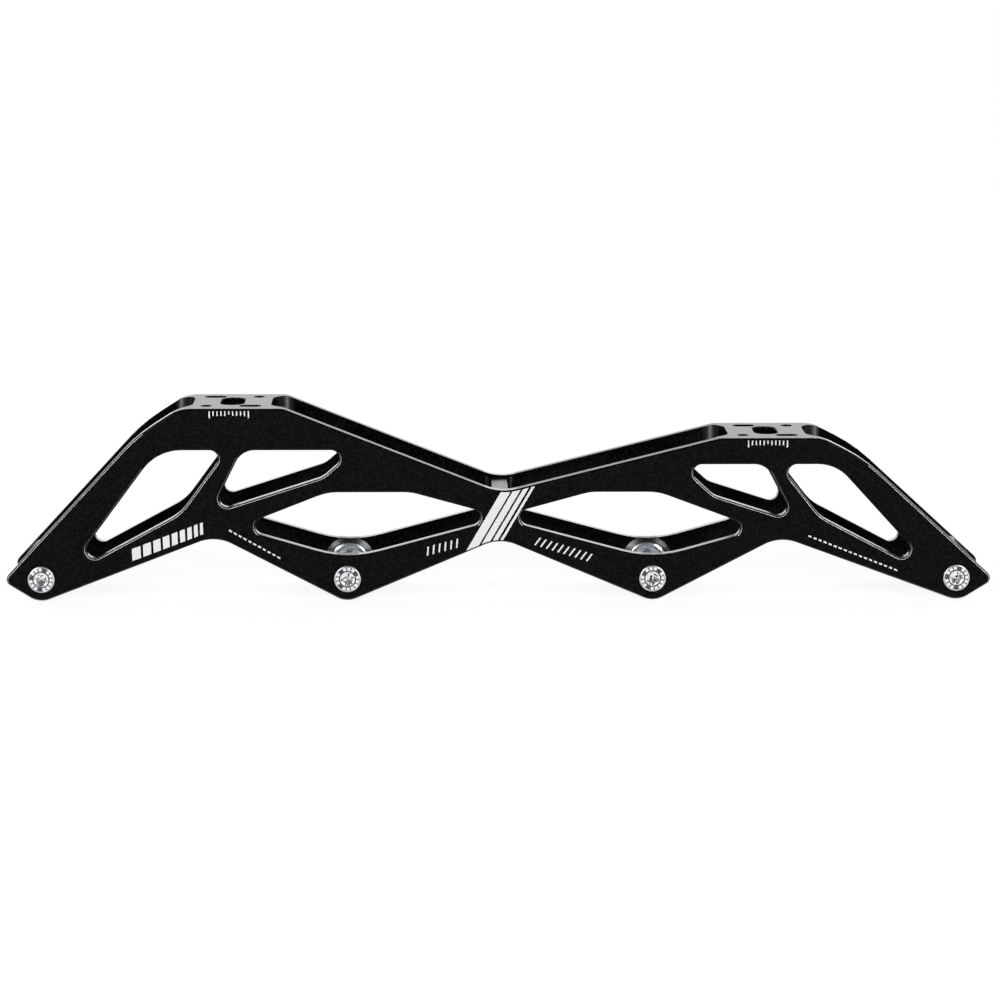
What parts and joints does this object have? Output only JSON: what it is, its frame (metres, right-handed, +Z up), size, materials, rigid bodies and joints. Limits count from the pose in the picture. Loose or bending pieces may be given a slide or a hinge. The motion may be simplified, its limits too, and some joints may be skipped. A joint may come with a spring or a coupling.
{
  "type": "inline skate frame",
  "caption": "Inline skate frame: latticed alloy channel with a raised heel deck and a lower toe deck, slotted for a boot's bolts, with removable axles for the wheels",
  "frame": {"origin": "on the ground line under the middle of the wheelbase, where the round feet of the side walls stand", "axes": "+X from heel to toe, +Y from the axle heads to the threaded side, +Z up to the boot"},
  "size_m": [0.359, 0.0348, 0.0709],
  "materials": {
    "anodised_frame": "black anodised, milled, satin sheen, small chamfers on the edges",
    "axle_metal": "bare turned alloy",
    "ring_metal": "bare turned alloy with fine tool marks",
    "insert_metal": "bare turned steel with fine tool marks"
  },
  "bodies": {
    "frame": {"frame_body": "anodised_frame", "spacer_ring_1": "ring_metal", "spacer_ring_2": "ring_metal", "spacer_ring_3": "ring_metal", "spacer_ring_4": "ring_metal", "threaded_insert_1": "insert_metal", "threaded_insert_2": "insert_metal", "threaded_insert_3": "insert_metal", "threaded_insert_4": "insert_metal"},
    "axle_1": {"axle_1": "axle_metal"},
    "axle_2": {"axle_2": "axle_metal"},
    "axle_3": {"axle_3": "axle_metal"},
    "axle_4": {"axle_4": "axle_metal"}
  },
  "joints": [
    {"name": "axle_1_draw", "type": "slide", "parent": "frame", "child": "axle_1", "axis": [0, -1, 0], "range_m": [0, 0.04]},
    {"name": "axle_2_draw", "type": "slide", "parent": "frame", "child": "axle_2", "axis": [0, -1, 0], "range_m": [0, 0.04]},
    {"name": "axle_3_draw", "type": "slide", "parent": "frame", "child": "axle_3", "axis": [0, -1, 0], "range_m": [0, 0.04]},
    {"name": "axle_4_draw", "type": "slide", "parent": "frame", "child": "axle_4", "axis": [0, -1, 0], "range_m": [0, 0.04]}
  ]
}
